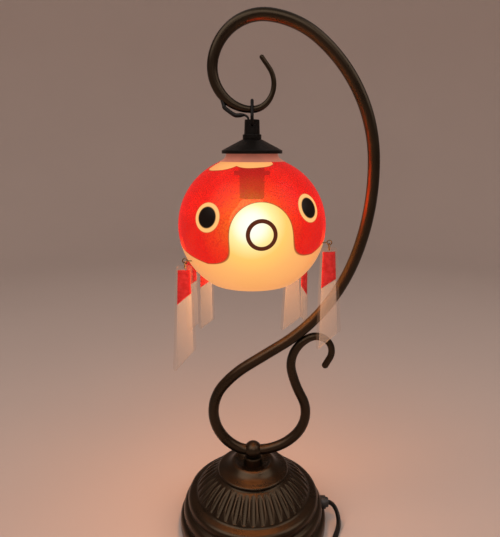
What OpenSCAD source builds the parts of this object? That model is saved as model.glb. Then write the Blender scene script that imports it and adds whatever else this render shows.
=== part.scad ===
// Goldfish lantern lamp: a lit glass goldfish hung from the hook of a swan-neck stand.
// Frame: origin on the table under the middle of the base, +Z up, +X toward the bow of the arm,
// -Y toward the fish's face. All sizes are in millimetres.

/* [Base] */
// Diameter of the foot
base_d = 150; // [135:1:165]
// Height of the shoulder that carries the boss
base_h = 62; // [56:1:70]
// Number of flutes round the dome
flutes = 40; // [36:2:44]
// Depth of a flute at its middle
flute_depth = 1.9; // [1:0.1:2.2]
// Thickness of the soft foot pad
pad_t = 1.6; // [1:0.1:3]
// Thickness of the bottom plate
plate_t = 2.8; // [2:0.1:4]
// Thickness of the cast weight
weight_t = 8.6; // [6:0.1:11]

/* [Arm] */
// Outside diameter of the arm tube
arm_d = 10.5; // [9.5:0.1:11.5]
// Bore of the arm tube
arm_bore = 7.6; // [7:0.1:8]
// Height of the knuckle's centre above the shoulder
knuckle_rise = 22; // [20:0.5:26]
// Diameter of the knuckle ball
knuckle_d = 17.6; // [16.5:0.1:19]
// Radius of the lower loop
loop_r = 45.4; // [42:0.1:49]
// Radius of the tall side of the bow
bow_r = 223; // [205:1:240]
// Radius of the crown
crown_r = 80.4; // [75:0.1:86]
// Radius of the curl above the hook
curl_r = 33.3; // [31:0.1:36]
// Diameter of the hook where the link hangs
rod_d = 6; // [5:0.1:6.6]
// Diameter of the hook's tip
tip_d = 3.8; // [3:0.1:4.5]
// Diameter of the scroll bar at the knuckle
scroll_d = 10; // [9:0.1:10.4]
// Diameter of the scroll bar at its tip
scroll_tip_d = 6.5; // [5.5:0.1:8]

/* [Hanger] */
// Wire of the hanger link
link_wire = 2.8; // [2.2:0.1:3]
// Diameter of the stem's top
stem_d = 12.6; // [12:0.1:13.5]
// Length of the stem above the collar
stem_h = 12.1; // [11.8:0.1:14]
// Diameter of the collar under the stem
collar_d = 16.1; // [15:0.1:17]

/* [Globe] */
// Greatest width of the glass
globe_d = 130.8; // [124:0.2:136]
// Height of the round of the glass, before its underside is made flat
globe_h = 120; // [116:0.5:124]
// Depth of the flat underside below the middle of the glass
globe_flat = 51; // [49:0.5:54]
// Thickness of the glass
glass_t = 2.4; // [1.8:0.1:3]
// Outside diameter of the neck
neck_d = 44.6; // [42:0.1:46]
// Diameter of the cap's rim
cap_d = 52.4; // [51:0.1:54]
// Height of the cap's cone
cone_h = 8.8; // [8:0.1:10]
// Diameter of the bulb
bulb_d = 42; // [35:1:46]

/* [Fins] */
// Thickness of the laminated sheet
fin_t = 0.5; // [0.3:0.05:0.6]
// Wire of the fins' eyes
eye_wire = 1; // [0.8:0.05:1.1]
// Wire of the fins' jump rings
ring_wire = 0.9; // [0.7:0.05:1]
// Middle radius of a jump ring
ring_r = 3; // [2.9:0.1:3.4]

/* [Cord] */
// Width of the flat twin cord
cord_w = 5.2; // [4.6:0.1:5.4]
// Thickness of the flat twin cord
cord_t = 2.6; // [2.2:0.1:2.7]
// Loops in each of the coil's two layers
coil_loops = 4; // [3:1:5]
// Middle radius of the coil's outermost loop
coil_r = 35; // [34:0.5:37]
// Step between neighbouring loops
coil_step = 3.4; // [3.2:0.1:3.6]
// Width of the flat twin lead in the arm
lead_w = 4.2; // [3.6:0.1:4.3]
// Thickness of the flat twin lead in the arm
lead_t = 2.1; // [1.8:0.1:2.2]

/* [Switch and plug] */
// Length of the switch
switch_l = 58; // [52:1:62]
// Width of the switch
switch_w = 24; // [21:0.5:26]
// Height of the switch without its rocker
switch_h = 17; // [15:0.5:20]
// Length of the plug's body
plug_l = 26; // [22:0.5:30]
// Width of the plug's body
plug_w = 22; // [20:0.5:24]
// Thickness of the plug's body
plug_t = 14; // [12:0.5:16]

/* [Hidden] */
$fn = 48;

// Colours, one for each kind of material
bronze = [0.16, 0.13, 0.11];
black = [0.05, 0.05, 0.05];
iron = [0.3, 0.3, 0.31];
steel = [0.62, 0.62, 0.64];
brass = [0.6, 0.48, 0.24];
ceramic = [0.9, 0.88, 0.83];
glass = [0.95, 0.42, 0.3];
paper = [0.95, 0.9, 0.86];

// Small clearances
fit = 0.3;
running_fit = 0.1;

// Base profile: radii follow base_d and heights follow base_h
base_r = base_d / 2;
r_unit = base_r / 75;
z_unit = base_h / 62;
dome_low = [57 * r_unit, 40.6 * z_unit];
dome_high = [35.4 * r_unit, base_h - 1];
dome_swell = 2.2;
dome_wall = 3.4;
dome_run = dome_high - dome_low;
dome_out = [dome_run.y, -dome_run.x] / norm(dome_run);
plate_inset = 4;
pad_inset = 5;
weight_inset = 12;
weight_bore = 30;
plate_top = pad_t + plate_t;
weight_top = plate_top + weight_t;
nipple_d = 10;
roof_t = 4.5;
cap_top = base_h + 10.6;
recess_z = base_h + 6;
post_top = base_h + 15;
knuckle_z = base_h + knuckle_rise;

// Points of a swelling line from a to b, moved sideways by d
function dome(d, steps = 8) = [for (k = [0:steps]) let (t = k / steps)
    dome_low + dome_run * t + dome_out * (4 * dome_swell * t * (1 - t) + d)];

// Walk along tangent arcs: each entry is [radius, sweep], or [0, length] for a straight stretch.
// A point of the walk is [x, z, heading].
function arc_points(p, h, r, a, n) = [for (k = [1:n]) let (t = a * k / n, s = sign(a))
    [p.x + r * s * (sin(h + t) - sin(h)), p.y + r * s * (cos(h) - cos(h + t)), h + t]];
function line_points(p, h, l, n) = [for (k = [1:n]) [p.x + l * k / n * cos(h), p.y + l * k / n * sin(h), h]];
function stretch(p, h, e, step) = e[0] == 0
    ? line_points(p, h, e[1], max(1, ceil(e[1] / step)))
    : arc_points(p, h, e[0], e[1], max(2, ceil(e[0] * abs(e[1]) * PI / 180 / step)));
function walk(arcs, p, h, step, i = 0) = i == len(arcs) ? [] :
    let (s = stretch(p, h, arcs[i], step), e = s[len(s) - 1])
    concat(s, walk(arcs, e, e[2], step, i + 1));
function last(list) = list[len(list) - 1];

// The arm starts inside the knuckle's left side and the scroll inside its right side
socket = 2;
lead_in = 5;
arm_arcs = [[0, lead_in - socket], [22, -28.8], [loop_r, -101.6], [109.1, -16.5], [0, 36.2],
    [168.3, 38], [bow_r, 23.1], [135.9, 47.1], [crown_r, 32]];
arm_start = [-socket, knuckle_z];
arm_end = last(walk(arm_arcs, arm_start, 180, 50));
hook_arcs_in = [[42.5, 83.5], [curl_r, 47.9], [33, 55.3]];
hook_arcs_out = [[17.2, 51.5], [22, 75], [0, 10]];
hang = last(walk(hook_arcs_in, arm_end, arm_end[2], 50));
scroll_arcs = [[0, lead_in - socket], [50.2, 48.1], [37, 69.6], [119.7, -13.9], [31.1, -73.9],
    [15.4, -148.8], [0, 7.8]];

// Heights of the shade, worked down from the hook
hang_x = hang.x;
rod_z = hang.y;
link_half = stem_d / 2 + 1 + link_wire / 2;
link_corner = link_wire / 2 + 0.4;
link_lean = 30;
link_nose = link_wire / 2 + 0.8;
link_gap = 0.2;
nose_z = rod_z + (rod_d / 2 + fit + link_wire / 2 - link_nose) / sin(link_lean);
shoulder_r = 4;
shoulder_z = nose_z + (link_nose - shoulder_r - (link_half - shoulder_r) * cos(link_lean)) / sin(link_lean);
pin_z = rod_z - rod_d / 2 - 9.4;
stem_top = pin_z + 4.1;
stem_foot = stem_top - stem_h;
collar_foot = stem_foot - 3.9;
rim_top = collar_foot - cone_h;
rim_foot = rim_top - 3.2;
neck_top = rim_top - 1;
spigot_d = 9.8;
spigot_foot = collar_foot - 21.4;
globe_r = globe_h / 2;
globe_off = (globe_d - globe_h) / 2;
neck_foot = neck_top - 10.9;
globe_z = neck_foot + 3.8 - sqrt(pow(globe_r, 2) - pow(neck_d / 2 - globe_off, 2));
holder_top = spigot_foot + 7;
holder_joint = spigot_foot - 4;
holder_foot = holder_joint - 25;
holder_floor = holder_joint - 6;
bulb_top = holder_floor - 2.5;
bulb_seat = bulb_top - 15.5;
bulb_z = bulb_seat - 25;
wire_off = 3.2;
wire_room = 0.9;

// Fins: [place of the eye from the globe's centre, yaw, inner and outer top, inner and outer foot,
// length on the inner edge, length on the outer edge]. Lengths run down from the eye, and places
// follow the globe's width and height.
eye_wide = globe_d / 130.8;
eye_tall = globe_h / 120;
fins = [
    [[-56.85, -31, -25.6], 180, -6, 8, -7.6, 13.5, 82, 101],
    [[-45.5, 38, -37.6], 165, -7, 8, -8, 10, 66, 77],
    [[-58.5, 30, -32.6], 160, -6, 8, -7, 9, 72, 82],
    [[66.3, -22, -11.6], 0, -7.2, 7, -8.6, 13.2, 98, 82],
    [[41.5, 46, -36.6], 20, -8, 8.5, -13, 13, 80, 68],
    [[52.5, 38, -32.6], 50, -7, 7, -7, 8, 66, 78]];
eye_r = 2;
ring_drop = eye_r - (eye_wire + ring_wire) / 2 - fit;
ring_z = -ring_drop - ring_r;
hole_r = 1.1;
hole_z = ring_z - ring_r + ring_wire / 2 + 0.2 - hole_r;
fin_top = hole_z + hole_r + 2.4;

// Mains cord: the route of its free stretches, chosen by hand, as [x, y, z, twist].
// Twist 0 lies flat and 90 stands on edge.
grommet_y = 4;
grommet_z = 18.2 * z_unit;
grommet_nose = 79 * r_unit;
block_x = 34;
block_l = 20;
switch_cord_z = 7;
tie_t = 0.9;
coil_low = tie_t + 0.1 + cord_w / 2;
coil_high = coil_low + cord_w + 0.7;
coil_x = 27;
coil_y = -117;
run_shift = grommet_nose - 79;
switch_x = 84 + run_shift;
switch_y = -104;
run_points = concat([[block_x + block_l / 2, grommet_y, grommet_z, 90], [60, grommet_y, grommet_z, 90],
    [grommet_nose - 3, grommet_y, grommet_z, 90], [grommet_nose - 1, grommet_y, grommet_z, 90],
    [grommet_nose, grommet_y, grommet_z, 90]],
    [for (p = [[81.5, 3.6, grommet_z - 0.6, 90], [84.2, 2.2, grommet_z - 2.2, 88], [86.6, -0.6, 13.2, 80],
        [88, -4.6, 9.8, 66], [88.2, -9.4, 6.6, 48], [87.2, -14.4, 4, 28], [85.2, -19.4, 2.3, 10],
        [82.8, -24.4, 1.6, 0],
        [80.6, -29.6, 1.5, 0], [79.2, -35, 1.5, 0], [78.6, -40.6, 1.6, 8], [78.8, -46.2, 2, 26],
        [79.6, -52, 2.7, 50], [80.9, -57.8, 3.6, 72], [82.3, -63.4, 5, 86], [83.4, -68.8, 6.4, 90]])
        [p.x + run_shift, p.y, p.z, p[3]]],
    [[switch_x, switch_y + switch_l / 2, switch_cord_z, 90]]);
link_points = concat([[switch_x, switch_y - switch_l / 2, switch_cord_z, 90]],
    [for (p = [[83.4, -137.6, 6.8, 90], [80.8, -142.2, 6.2, 90], [76.2, -146.6, 5.4, 90],
        [69.6, -149.8, 4.7, 90],
        [61.4, -151.4, 4.3, 90]]) [p.x + run_shift * (p.x - 52) / 32, p.y, p.z, p[3]]],
    [[52, -152, coil_low, 90], [42, -152, coil_low, 90], [coil_x + cord_w, coil_y - coil_r, coil_low, 90]]);
plug_at = [-31, -127, 7];
plug_turn = 124;
// Place on the plug's axis, d behind the end of its sleeve
function behind_plug(d) = [plug_at.x - d * cos(plug_turn), plug_at.y - d * sin(plug_turn), plug_at.z, 90];
tail_points = concat([for (d = [0, 1.5, 3]) [coil_x - cord_w - d, coil_y - coil_r, coil_high, 90]],
    [[14, -152.1, 9.6, 90], [6.4, -152, 9.2, 90], [-1, -151.2, 8.5, 90], [-8.4, -149, 7.8, 90],
    [-15.2, -145.2, 7.2, 90],
    [-21.2, -140, 7, 90], [-26, -134.2, 7, 90]], [for (d = [3, 1.5, 0]) behind_plug(d)]);

// Rings of a flat cord: section of eight corners, wide by thick, rounded at its edges
function cord_section(w, t) = [[w / 2, t / 5], [w / 2 - t / 3, t / 2], [-w / 2 + t / 3, t / 2],
    [-w / 2, t / 5],
    [-w / 2, -t / 5], [-w / 2 + t / 3, -t / 2], [w / 2 - t / 3, -t / 2], [w / 2, -t / 5]];
function unit(v) = v / norm(v);
function xyz(p) = [p.x, p.y, p.z];
function heading(path, i) = unit(xyz(path[min(i + 1, len(path) - 1)]) - xyz(path[max(i - 1, 0)]));
function cord_ring(path, i, section) =
    let (t = heading(path, i), side = unit(cross([0, 0, 1], t)), up = cross(t, side), a = path[i][3],
        wide = side * cos(a) + up * sin(a), thin = up * cos(a) - side * sin(a))
    [for (q = section) xyz(path[i]) + wide * q.x + thin * q.y];
// Smooth points between the hand-chosen ones
function between(a, b, c, d, t) = 0.5 * (2 * b + (c - a) * t + (2 * a - 5 * b + 4 * c - d) * t * t
    + (3 * b - a - 3 * c + d) * t * t * t);
function smooth(p, n) = let (m = len(p) - 1) concat(
    [for (i = [0:m - 1], k = [0:n - 1]) between(p[max(i - 1, 0)], p[i], p[i + 1], p[min(i + 2, m)], k / n)],
    [p[m]]);

// Closed skin over a list of rings with the same number of corners
module skin(rings) {
    n = len(rings[0]);
    m = len(rings);
    points = [for (r = rings) each r];
    sides = [for (i = [0:m - 2], j = [0:n - 1]) let (a = i * n + j, b = i * n + (j + 1) % n)
        each [[a, b + n, b], [a, a + n, b + n]]];
    ends = [[for (j = [0:n - 1]) j], [for (j = [n - 1:-1:0]) (m - 1) * n + j]];
    polyhedron(points, concat(sides, ends), convexity = 10);
}

// Round bar along a walk in the XZ plane with its own diameter at each point. Its first points may have a bore,
// which is blind if there are fewer bores than points.
function bar_ring(p, d, n) = [for (k = [0:n - 1]) let (a = 360 * k / n, r = d / 2)
    [p.x - sin(p[2]) * r * cos(a), -r * sin(a), p.y + cos(p[2]) * r * cos(a)]];
module bar(points, diameters, bores = [], n = 20) {
    m = len(points);
    b = len(bores);
    o = m * n;
    corners = [for (i = [0:m - 1]) each bar_ring(points[i], diameters[i], n),
        for (i = [0:1:b - 1]) each bar_ring(points[i], bores[i], n)];
    outside = [for (i = [0:m - 2], j = [0:n - 1]) let (a = i * n + j, c = i * n + (j + 1) % n)
        each [[a, c + n, c], [a, a + n, c + n]]];
    inside = [for (i = [0:1:b - 2], j = [0:n - 1]) let (a = o + i * n + j, c = o + i * n + (j + 1) % n)
        each [[a, c, c + n], [a, c + n, a + n]]];
    solid_end = [[for (j = [n - 1:-1:0]) (m - 1) * n + j]];
    start = b == 0 ? [[for (j = [0:n - 1]) j]] : [for (j = [0:n - 1]) let (c = (j + 1) % n)
        each [[j, c, o + c], [j, o + c, o + j]]];
    far = b == 0 ? solid_end : b < m ? concat(solid_end, [[for (j = [0:n - 1]) o + (b - 1) * n + j]])
        : [for (j = [0:n - 1]) let (c = (j + 1) % n, e = (m - 1) * n)
            each [[e + c, e + j, o + e + j], [e + c, o + e + j, o + e + c]]];
    polyhedron(corners, concat(outside, inside, start, far), convexity = 10);
}
// Steps that round off the end of a bar
end_angles = [30, 60, 82];
function end_points(p, d) = [for (a = end_angles)
    [p.x + cos(p[2]) * d / 2 * sin(a), p.y + sin(p[2]) * d / 2 * sin(a), p[2]]];
function end_diameters(d) = [for (a = end_angles) d * cos(a)];

// Solid between two heights with a round bore
module sleeve(d, bore, low, high) {
    translate([0, 0, low]) difference() {
        cylinder(d = d, h = high - low);
        if (bore > 0) translate([0, 0, -1]) cylinder(d = bore, h = high - low + 2);
    }
}

// Base
module base_outline() {
    polygon(concat([[0, 0.8]],
        [for (p = [[73.6, 0.8], [74.8, 2.4], [75, 6], [75, 10], [74.6, 13.5], [73.2, 16],
        [71, 17.2], [70.8, 19.2], [71.2, 20.6], [71.2, 23], [70.4, 26], [68.6, 28.2], [66.6, 29.2], [66, 30.8],
        [66.4, 32], [66.4, 34], [65.6, 36.4], [63.6, 38.2], [60.6, 39], [58.4, 39.4]])
            [p.x * r_unit, p.y * z_unit]],
        dome(0), [[34.4 * r_unit, base_h], [0, base_h]]));
}
module base_cavity() {
    seat = base_r - plate_inset;
    polygon(concat([[0, 0], [seat, 0], [seat, plate_top], [seat - 0.8, plate_top]],
        [for (p = [[70.2, 12], [67.6, 15], [67.4, 24], [62.8, 27], [62.6, 34], [56, 35.6]])
            [p.x * r_unit, p.y * z_unit]],
        [for (p = dome(-dome_wall)) if (p.y < base_h - roof_t) p],
        [[34 * r_unit - dome_wall, base_h - roof_t],
        [0, base_h - roof_t]]));
}
module grommet_bore(d) {
    translate([base_r * 0.8, grommet_y, grommet_z]) rotate([0, 90, 0]) cylinder(d = d, h = base_r * 0.4);
}
shank_d = 9;
shank_l = 13.6;
module base_shell() {
    flute_r = 3.1 * r_unit;
    mid = dome_low + dome_run / 2 + dome_out * (dome_swell + flute_r - flute_depth);
    color(bronze) difference() {
        rotate_extrude($fn = 96) base_outline();
        rotate_extrude($fn = 96) base_cavity();
        translate([0, 0, base_h - 10]) cylinder(d = nipple_d, h = 12);
        grommet_bore(shank_d);
        for (k = [0:flutes - 1]) rotate([0, 0, 360 * k / flutes])
            translate([mid.x, 0, mid.y]) rotate([0, atan2(dome_run.x, dome_run.y), 0])
                cylinder(r1 = 1.1 * flute_r, r2 = 0.92 * flute_r, h = 0.9 * norm(dome_run),
                    center = true, $fn = 20);
    }
}
module base_cap() {
    color(bronze) rotate_extrude($fn = 96) polygon(concat([[nipple_d / 2, base_h]],
        [for (p = [[34.4, 0], [35.4, 1.2], [35.4, 2.2], [34.4, 3.2], [32.6, 3.6], [31, 3.9],
            [28.4, 4.6], [25.8, 5.8],
            [23.4, 7.6], [21.6, 9.4], [20.4, 10.3]]) [p.x * r_unit, base_h + p.y]],
        [[19 * r_unit, cap_top], [17.6 * r_unit, cap_top - 0.4], [15.6 * r_unit, cap_top - 2],
        [13.2 * r_unit, recess_z + 1], [11 * r_unit, recess_z], [nipple_d / 2, recess_z]]));
}
module base_weight() {
    color(iron) sleeve(base_d - 2 * weight_inset, weight_bore, plate_top, weight_top);
}
module base_plate() {
    color(steel) sleeve(base_d - 2 * plate_inset, 0, pad_t, plate_top);
}
module base_pad() {
    color(black) sleeve(base_d - 2 * pad_inset, 0, 0, pad_t);
}
module base_nipple() {
    color(steel) sleeve(nipple_d, 6.4, base_h - roof_t - 7.5, recess_z + 6);
}
module lock_nut() {
    color(steel) translate([0, 0, base_h - roof_t - 5]) difference() {
        cylinder(d = 18.5, h = 5, $fn = 6);
        translate([0, 0, -1]) cylinder(d = nipple_d, h = 7);
    }
}
// Plain tapered post, with the ball seated on its head
post_foot_r = 9.6;
post_head_r = 8.6;
ball_foot_d = 10.6;
module post() {
    color(bronze) difference() {
        rotate_extrude() polygon([[0, recess_z], [post_foot_r, recess_z], [post_foot_r, recess_z + 0.8],
            [post_head_r, post_top - 0.6], [post_head_r - 0.6, post_top], [0, post_top]]);
        translate([0, 0, recess_z - 1]) cylinder(d = nipple_d, h = 7);
        cylinder(d = 5.2, h = post_top + 1);
    }
}
module knuckle() {
    color(bronze) difference() {
        union() {
            translate([0, 0, knuckle_z]) sphere(d = knuckle_d, $fn = 64);
            translate([0, 0, post_top]) cylinder(d = ball_foot_d, h = knuckle_z - post_top);
        }
        translate([0, 0, post_top - knuckle_d]) cylinder(d = 2 * knuckle_d, h = knuckle_d);
        translate([0, 0, post_top - 1]) cylinder(d = 5.2, h = knuckle_z - post_top + 1);
        translate([0, 0, knuckle_z]) sphere(d = 2 * socket + 3.6, $fn = 40);
        translate([-socket, 0, knuckle_z]) rotate([0, -90, 0]) cylinder(d = arm_d, h = knuckle_d);
        translate([socket, 0, knuckle_z]) rotate([0, 90, 0]) cylinder(d = scroll_d, h = knuckle_d);
    }
}

// Arm
arm_step = 7;
module arm_tube() {
    points = concat([[arm_start.x, arm_start.y, 180]], walk(arm_arcs, arm_start, 180, arm_step));
    color(bronze) bar(points, [for (p = points) arm_d], [for (p = points) arm_bore]);
}
hook_step = 4;
hook_in = concat([arm_end], walk(hook_arcs_in, arm_end, arm_end[2], hook_step));
hook_all = concat(hook_in, walk(hook_arcs_out, hang, hang[2], hook_step));
function run_length(points) = [for (i = 0, s = 0; i < len(points); i = i + 1,
    s = i < len(points) ? s + norm([points[i].x - points[i - 1].x, points[i].y - points[i - 1].y]) : s) s];
hook_run = run_length(hook_all);
hang_run = hook_run[len(hook_in) - 1];
hook_end = last(hook_run);
function hook_d(s) = lookup(s, [[0, arm_d], [0.2 * hang_run, arm_d * 0.965], [0.58 * hang_run, arm_d * 0.86],
    [0.75 * hang_run, arm_d * 0.83], [0.88 * hang_run, (arm_d * 0.83 + rod_d) / 2], [hang_run - 3, rod_d],
    [hang_run + 3, rod_d], [hang_run + 0.4 * (hook_end - hang_run), rod_d * 0.74], [hook_end, tip_d]]);
exit_at = [for (i = [0:len(hook_in) - 1]) if (hook_run[i] < 0.69 * hang_run) i];
exit_index = last(exit_at);
exit_point = hook_in[exit_index];
exit_dir = [cos(exit_point[2]), 0, sin(exit_point[2])];
module arm_hook() {
    bore_d = arm_bore - 2;
    tip = last(hook_all);
    color(bronze) difference() {
        bar(concat(hook_all, end_points(tip, tip_d)),
            concat([for (r = hook_run) hook_d(r)], end_diameters(tip_d)),
            [for (i = [0:exit_index]) bore_d]);
        translate([exit_point.x, 0, exit_point.y]) rotate([0, 90 - exit_point[2], 0])
            translate([0, 0, -1.5]) cylinder(d = bore_d, h = 30, $fn = 20);
    }
}
module scroll_bar() {
    points = concat([[socket, knuckle_z, 0]], walk(scroll_arcs, [socket, knuckle_z], 0, 5));
    run = run_length(points);
    full = last(run);
    color(bronze) bar(concat(points, end_points(last(points), scroll_tip_d)),
        concat([for (r = run) lookup(r, [[0, scroll_d], [0.2 * full, scroll_d],
            [0.55 * full, scroll_d * 0.93],
            [0.75 * full, scroll_d * 0.82], [0.88 * full, scroll_tip_d], [full, scroll_tip_d]])],
        end_diameters(scroll_tip_d)));
}

// Wiring held by the stand
module terminal_block() {
    color(ceramic) translate([block_x - block_l / 2, grommet_y - 6, weight_top]) cube([block_l, 12, 10]);
}
module cord_grommet() {
    color(black) difference() {
        union() {
            translate([base_r - shank_l - 3, grommet_y, grommet_z]) rotate([0, 90, 0])
                cylinder(d = shank_d, h = shank_l);
            difference() {
                translate([base_r - 8, grommet_y, grommet_z]) rotate([0, 90, 0]) union() {
                    cylinder(d = 13.4, h = 9);
                    translate([0, 0, 9]) cylinder(d1 = 11, d2 = 9, h = grommet_nose - base_r - 1);
                }
                rotate_extrude($fn = 96) base_outline();
            }
        }
        translate([0, grommet_y - cord_t / 2 - 0.05, grommet_z - cord_w / 2 - 0.05])
            cube([base_d, cord_t + 0.1, cord_w + 0.1]);
    }
}
lead_z = weight_top + 5;
lead_turn = [[block_x - block_l / 2, grommet_y, lead_z], [block_x - block_l / 2 - 2, grommet_y, lead_z],
    [16, 3, lead_z + 3], [8, 1.2, lead_z + 13],
    [2, 0.2, lead_z + 24], [0, 0, base_h - roof_t - 9], [0, 0, base_h], [0, 0, post_top],
    [0, 0, knuckle_z - 5.5], [-0.5, 0, knuckle_z - 2.8], [-2.2, 0, knuckle_z - 0.8], [-4.4, 0, knuckle_z]];
// The lead's broad side faces the plane of the arm, so its wide axis stays along Y
function lead_rings(path) = [for (i = [0:len(path) - 1]) let (t = heading(path, i),
    wide = unit([0, 1, 0] - t * t.y),
    thin = cross(t, wide)) [for (q = cord_section(lead_w, lead_t)) path[i] + wide * q.x + thin * q.y]];
function upright(p) = [p.x, 0, p.y];
exit_end = upright(exit_point) + exit_dir * 19;
module arm_lead() {
    in_arm = [for (p = walk([for (i = [1:len(arm_arcs) - 1]) arm_arcs[i]],
        [-lead_in, knuckle_z], 180, 12)) upright(p)];
    in_hook = [for (i = [2:2:exit_index]) upright(hook_in[i])];
    color(black) skin(lead_rings(concat(lead_turn, in_arm, in_hook, [exit_end - exit_dir * 8, exit_end])));
}
// The free end of the lead droops from the hook's side into the stem's wire hole
head_points = [exit_end, exit_end + exit_dir * 1.2, exit_end + exit_dir * 2.4,
    [hang_x - 17.6, 0, stem_top + 5.4],
    [hang_x - 13.8, 0, stem_top + 3.5], [hang_x - 9.8, 0, stem_top + 3.6], [hang_x - 6.2, 0, stem_top + 3.2],
    [hang_x - wire_off - 0.5, 0, stem_top + 1.2], [hang_x - wire_off, 0, stem_top - 1.6],
    [hang_x - wire_off, 0, stem_top - 6]];
module head_lead() {
    color(black) skin(lead_rings(smooth(head_points, 3)));
}

// Hanger and cap
// Bent wire whose two ends meet inside the stem
module hanger_link() {
    corner = [cos(link_lean), sin(link_lean)];
    side_low = [link_half - shoulder_r, shoulder_z] + shoulder_r * corner;
    side_high = [0, nose_z] + link_nose * corner;
    half = [[0, link_half - link_corner - link_gap / 2], [link_corner, 90],
        [0, shoulder_z - pin_z - link_corner],
        [shoulder_r, link_lean], [0, norm(side_high - side_low)]];
    arcs = concat(half, [[link_nose, 180 - 2 * link_lean]], [for (i = [len(half) - 1:-1:0]) half[i]]);
    start = [link_gap / 2, pin_z];
    points = concat([[start.x, start.y, 0]], walk(arcs, start, 0, 1.6));
    color(black) translate([hang_x, 0, 0]) rotate([0, 0, 90])
        bar(points, [for (p = points) link_wire], [], 16);
}
module stem() {
    color(black) difference() {
        translate([hang_x, 0, 0]) union() {
            translate([0, 0, stem_foot]) cylinder(d1 = stem_d + 0.9, d2 = stem_d, h = stem_h);
            translate([0, 0, spigot_foot]) cylinder(d = spigot_d, h = stem_foot - spigot_foot);
        }
        translate([hang_x, 0, pin_z]) rotate([90, 0, 0])
            cylinder(d = link_wire + 2 * running_fit, h = 2 * stem_d, center = true);
        translate([hang_x, 0, spigot_foot - 1]) cylinder(d = 6, h = stem_foot + 4 - spigot_foot);
        translate([hang_x - wire_off - lead_t / 2 - wire_room, -lead_w / 2 - fit, stem_foot])
            cube([lead_t + 2 * wire_room, lead_w + 2 * fit, 2 * stem_h]);
    }
}
module on_axis() {
    translate([hang_x, 0, 0]) children();
}
module stem_collar() {
    color(black) on_axis() sleeve(collar_d, spigot_d, collar_foot, stem_foot);
}
// Share of the room between the neck and the rim that is wall on each side
rim_share = 8 / 39;
module cap_profile() {
    r = cap_d / 2;
    wall = (cap_d - neck_d) * rim_share;
    polygon([[spigot_d / 2, collar_foot], [collar_d / 2, collar_foot], [r, rim_top - 0.6],
        [r, rim_foot], [r - wall, rim_foot], [r - wall, neck_top], [neck_d / 2 - 3, neck_top],
        [neck_d / 2 - 3, rim_top + 0.4], [9.2, collar_foot - 2.4], [spigot_d / 2, collar_foot - 2.4]]);
}
screw_z = (rim_foot + neck_top) / 2;
screw_d = 1.6;
module screw_places(k) {
    rotate([0, 0, 60 + 120 * k]) translate([neck_d / 2, 0, screw_z]) rotate([0, 90, 0]) children();
}
module shade_cap() {
    color(black) on_axis() difference() {
        rotate_extrude($fn = 96) cap_profile();
        for (k = [1:3]) screw_places(k) cylinder(d = screw_d, h = 12, $fn = 24);
    }
}
// Three grub screws in one group
module cap_screws() {
    color(steel) on_axis() for (k = [1:3]) difference() {
        screw_places(k) difference() {
            cylinder(d = screw_d, h = cap_d / 2 - neck_d / 2 - 0.1, $fn = 24);
            translate([-0.2, -2, cap_d / 2 - neck_d / 2 - 0.7]) cube([0.4, 4, 2]);
        }
        cylinder(d = neck_d, h = 2 * neck_top, $fn = 96);
    }
}
module cap_nut() {
    color(steel) on_axis() translate([0, 0, collar_foot - 6]) difference() {
        cylinder(d = 15, h = 3.6, $fn = 6);
        translate([0, 0, -1]) cylinder(d = spigot_d, h = 6);
    }
}

// Lampholder and bulb
module holder_cap() {
    color(black) on_axis() rotate_extrude() polygon([[spigot_d / 2, holder_top], [7.4, holder_top],
        [10.2, holder_top - 2.4], [11, holder_top - 5], [11, holder_joint], [9.6, holder_joint],
        [9.6, spigot_foot - 0.6], [8.8, spigot_foot + 0.6], [spigot_d / 2, spigot_foot + 0.6]]);
}
module holder_body() {
    color(black) on_axis() difference() {
        sleeve(22, 0, holder_foot, holder_joint);
        translate([0, 0, holder_foot - 1]) cylinder(d = 17.2, h = holder_floor - holder_foot + 1);
        for (s = [-1, 1]) translate([5.6 * s, 0, holder_floor - 1]) cylinder(d = 2.4, h = 8, $fn = 20);
    }
}
module holder_ring() {
    ring_top = holder_foot + 23.5;
    color(black) on_axis() sleeve(31.5, 22, ring_top - 3, ring_top);
}
module screw_shell() {
    color(brass) on_axis() difference() {
        union() {
            sleeve(15.2, 0, holder_floor - 15, holder_floor);
            sleeve(17.2, 0, holder_floor - 0.6, holder_floor);
        }
        translate([0, 0, holder_floor - 16]) cylinder(d = 14.2, h = 15.4);
        translate([0, 0, holder_floor - 2]) cylinder(d = 9, h = 3);
    }
}
module centre_contact() {
    color(brass) on_axis() sleeve(4.4, 0, bulb_top, holder_floor);
}
module bulb_cap() {
    color(steel) on_axis() union() {
        sleeve(4.4, 0, bulb_top - 1.2, bulb_top);
        translate([0, 0, bulb_top - 3]) cylinder(d1 = 11, d2 = 4.4, h = 1.8);
        sleeve(13.8, 0, bulb_seat + 0.6, bulb_top - 3);
        sleeve(17, 0, bulb_seat, bulb_seat + 0.6);
    }
}
module bulb_shape(grow) {
    r = bulb_d / 2 + grow;
    neck = 8 + grow;
    intersection() {
        union() {
            translate([0, bulb_z]) circle(r = r, $fn = 64);
            polygon([[0, bulb_z], [r * 0.92, bulb_z + r * 0.39], [neck + 2.4, bulb_z + r],
                [neck, bulb_seat - 2],
                [neck, bulb_seat + (grow < 0 ? 1 : 0)], [0, bulb_seat + (grow < 0 ? 1 : 0)]]);
        }
        translate([0, bulb_z - 2 * r]) square([2 * r, 6 * r]);
    }
}
module bulb_glass() {
    color(ceramic) on_axis() rotate_extrude() difference() {
        bulb_shape(0);
        bulb_shape(-1);
    }
}

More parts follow.
